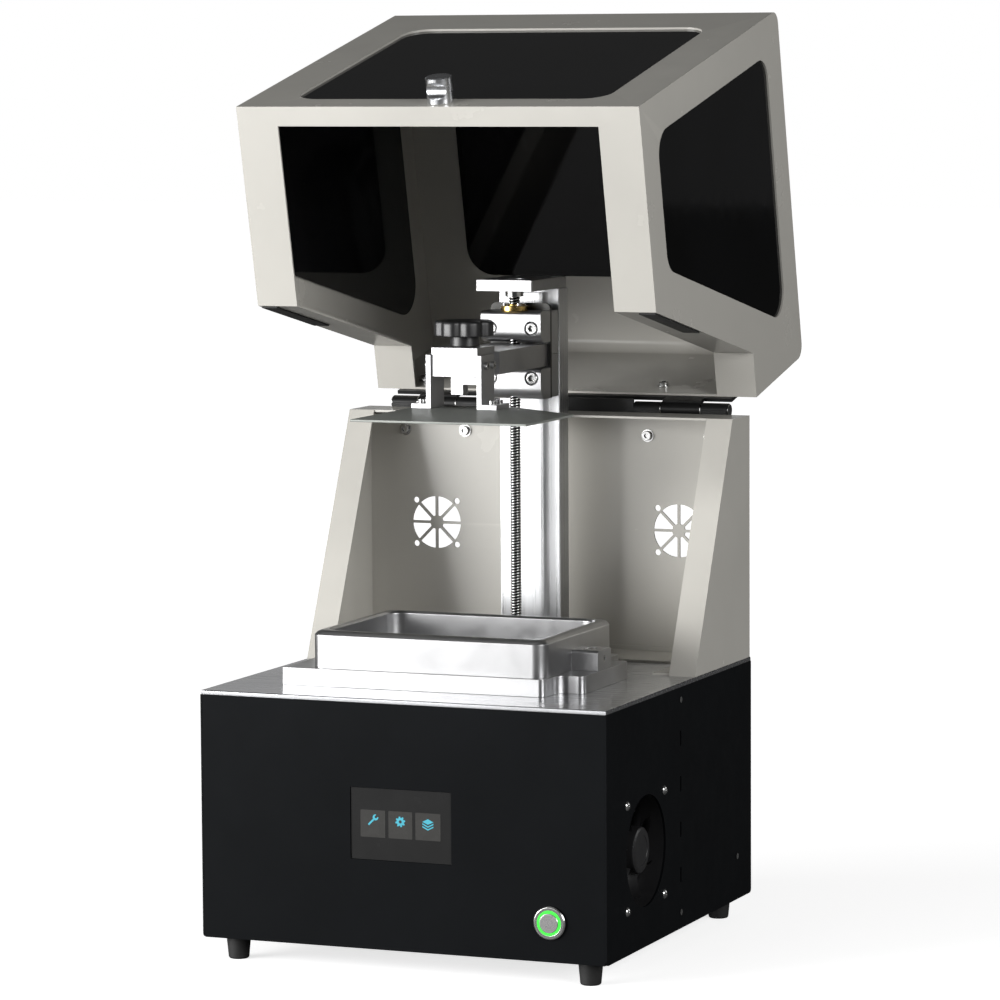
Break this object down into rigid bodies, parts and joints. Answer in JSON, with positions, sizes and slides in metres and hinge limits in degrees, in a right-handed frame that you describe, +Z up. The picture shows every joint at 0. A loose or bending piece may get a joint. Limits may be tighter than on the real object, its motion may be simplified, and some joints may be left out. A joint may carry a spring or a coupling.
{
  "type": "resin printer",
  "caption": "Desktop resin printer: black case with display, aluminium deck and vat, raised build platform on a Z column, and a tinted window hood hinged open at the back.",
  "frame": {"origin": "on the surface it stands on, under the middle of the whole outline with the hood open", "axes": "+X to the right seen from the front, +Y to the back, +Z up"},
  "size_m": [0.2982, 0.4079, 0.6452],
  "materials": {
    "shell_paint": "smooth semi-gloss warm grey-beige paint",
    "case_black": "satin black powder coat",
    "frame_steel": "matte black",
    "deck_aluminium": "brushed",
    "machined_aluminium": "fine matte blasted and clear anodised",
    "plate_finish": "dark glossy anodised",
    "bright_steel": "polished",
    "ground_steel": "ground",
    "brass": "machined",
    "rubber": "matte black",
    "black_plastic": "fine moulded grain",
    "display": "glossy dark display",
    "electronics": "green laminate boards",
    "power_case": "plated sheet",
    "motor_body": "black lacquer with bare end caps",
    "tinted_acrylic": "dark tinted clear acrylic",
    "screen": "dark polished screen glass",
    "film": "clear film",
    "hinge_black": "black",
    "button_face": "brushed",
    "button_glow": "green translucent ring"
  },
  "bodies": {
    "case": {"case_frame": "frame_steel", "rubber_feet": "rubber", "case_screws": "bright_steel", "front_panel": "case_black", "right_panel": "case_black", "left_panel": "case_black", "panel_screws": "bright_steel", "rear_panel": "case_black", "deck_plate": "deck_aluminium", "display_glass": "display", "display_module": "electronics", "button_bezel": "bright_steel", "button_light": "button_glow", "fan_frame": "black_plastic", "lamp_heat_sink": "power_case", "lamp_brackets": "frame_steel", "led_board": "electronics", "light_funnel": "power_case", "power_supply": "power_case", "control_board": "electronics", "power_inlet": "black_plastic", "usb_port": "electronics", "vat_frame": "machined_aluminium", "masking_screen": "screen", "column": "machined_aluminium", "column_screws": "bright_steel", "linear_rail": "machined_aluminium", "end_plate": "machined_aluminium", "top_bearing": "ground_steel", "z_motor": "motor_body", "rear_shell": "shell_paint", "shell_hinge_screws": "bright_steel", "fixed_strip": "hinge_black", "hinge_pins": "bright_steel"},
    "power_button": {"button_cap": "button_face"},
    "side_fan": {"fan_rotor": "black_plastic"},
    "vat": {"vat_body": "machined_aluminium", "vat_film": "film", "vat_screws": "bright_steel"},
    "drive_screw": {"lead_screw": "ground_steel"},
    "carriage": {"clamp_bars": "machined_aluminium", "carriage_plate": "machined_aluminium", "carriage_screws": "bright_steel", "guide_blocks": "ground_steel", "drive_nut": "brass", "platform_arm": "machined_aluminium"},
    "platform": {"build_plate": "plate_finish", "clamp_block": "machined_aluminium", "plate_brackets": "machined_aluminium", "bracket_screws": "bright_steel"},
    "clamp_knob": {"star_knob": "black_plastic"},
    "hood": {"hood_shell": "shell_paint", "hood_front_window": "tinted_acrylic", "hood_top_window": "tinted_acrylic", "hood_side_windows": "tinted_acrylic", "hood_seals": "rubber", "hood_knob": "bright_steel", "hood_screws": "bright_steel", "hood_strip": "hinge_black"}
  },
  "joints": [
    {"name": "hood_hinge", "type": "hinge", "parent": "case", "child": "hood", "pos_m": [0, 0.093, 0.3627], "axis": [1, 0, 0], "range_deg": [0, 77]},
    {"name": "z_travel", "type": "slide", "parent": "case", "child": "carriage", "axis": [0, 0, 1], "range_m": [-0.1655, 0.002]},
    {"name": "drive_screw_turn", "type": "hinge", "parent": "case", "child": "drive_screw", "pos_m": [0, 0.0077, 0.3], "axis": [0, 0, 1], "range_deg": [-14900, 200]},
    {"name": "platform_lift_off", "type": "slide", "parent": "carriage", "child": "platform", "axis": [0, -1, 0], "range_m": [0, 0.027]},
    {"name": "knob_turn", "type": "hinge", "parent": "platform", "child": "clamp_knob", "pos_m": [0, -0.084, 0.429], "axis": [0, 0, 1], "continuous": true},
    {"name": "vat_lift_off", "type": "slide", "parent": "case", "child": "vat", "axis": [0, 0, 1], "range_m": [0, 0.05]},
    {"name": "power_press", "type": "slide", "parent": "case", "child": "power_button", "axis": [0, 1, 0], "range_m": [0, 0.0015], "stiffness_N_per_m": 800, "springref_m": -0.001},
    {"name": "fan_spin", "type": "hinge", "parent": "case", "child": "side_fan", "pos_m": [0.136, -0.1263, 0.082], "axis": [1, 0, 0], "continuous": true}
  ],
  "couplings": [
    {"joint": "drive_screw_turn", "follows": "z_travel", "rad_per_m": 1570.8}
  ]
}
